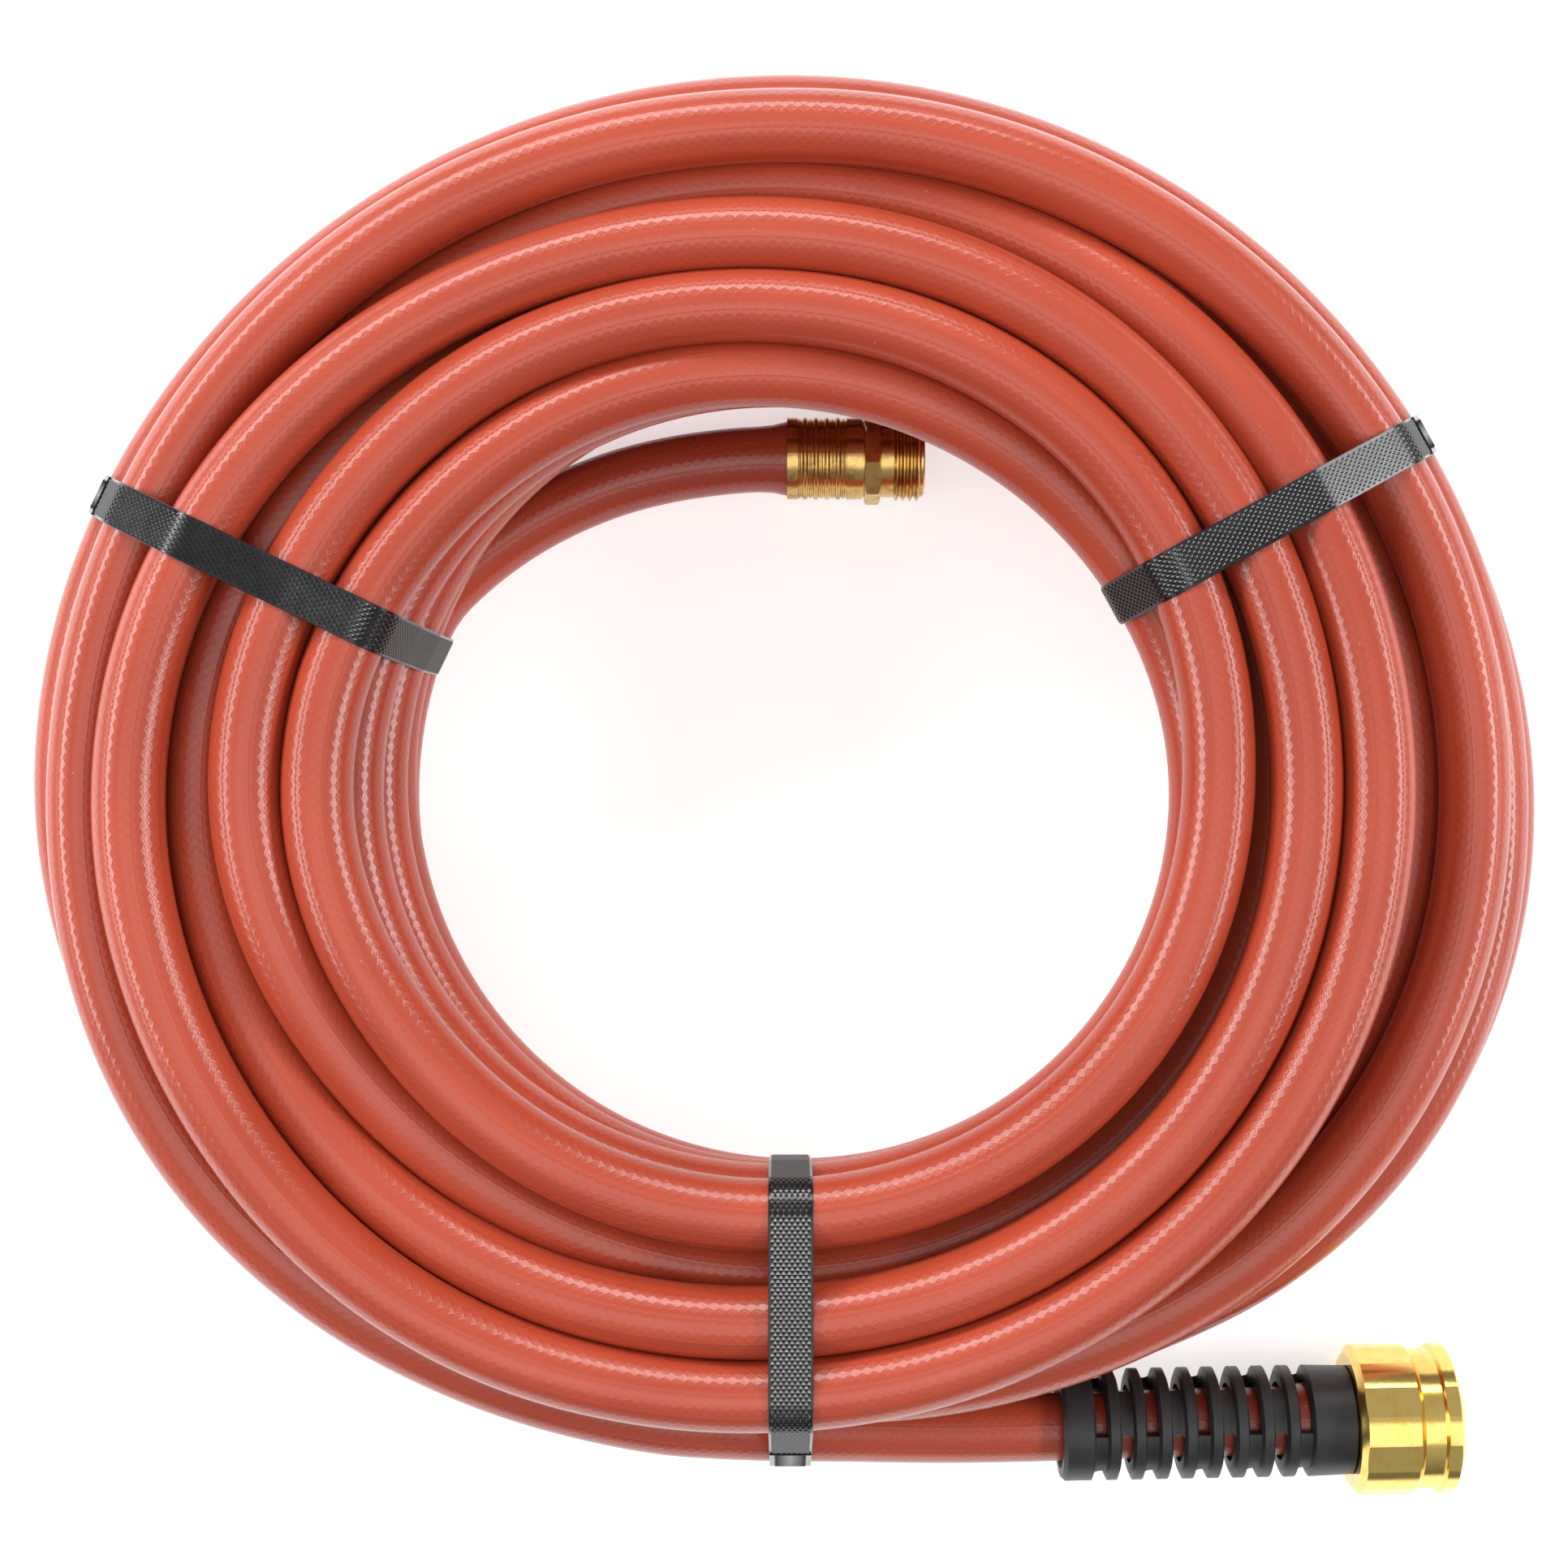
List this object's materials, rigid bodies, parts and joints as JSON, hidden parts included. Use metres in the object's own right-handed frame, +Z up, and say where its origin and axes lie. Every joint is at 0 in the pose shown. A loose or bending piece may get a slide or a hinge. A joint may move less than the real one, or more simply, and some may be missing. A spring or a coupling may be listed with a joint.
{
  "type": "coiled garden hose",
  "caption": "Reinforced water hose wound in a flat oval coil and strapped, with a brass swivel coupling under a slotted kink guard and a brass male end inside the coil.",
  "frame": {"origin": "on the surface that the coil lies on, under the middle of the whole object", "axes": "+Z up out of the surface, +X along the coil's wider diameter, the way both couplings point, +Y from the swivel coupling's side towards the male end's side"},
  "size_m": [0.463, 0.4395, 0.104],
  "materials": {
    "hose_cover": "satin",
    "strap": "satin",
    "guard": "matte",
    "nut_brass": "polished",
    "end_brass": "gloss",
    "washer": "matte"
  },
  "bodies": {
    "hose": {"hose_coil": "hose_cover", "hose_lead": "hose_cover", "hose_tail": "hose_cover", "strap_left": "strap", "strap_right": "strap", "strap_front": "strap", "kink_guard": "guard", "female_ferrule": "end_brass", "female_stem": "end_brass", "male_ferrule": "end_brass", "male_fitting": "end_brass"},
    "nut": {"swivel_nut": "nut_brass", "hose_washer": "washer"}
  },
  "joints": [
    {"name": "nut_spin", "type": "hinge", "parent": "hose", "child": "nut", "pos_m": [0.182, -0.19671, 0.0232], "axis": [0.9998, 0.0192, 0], "continuous": true}
  ]
}
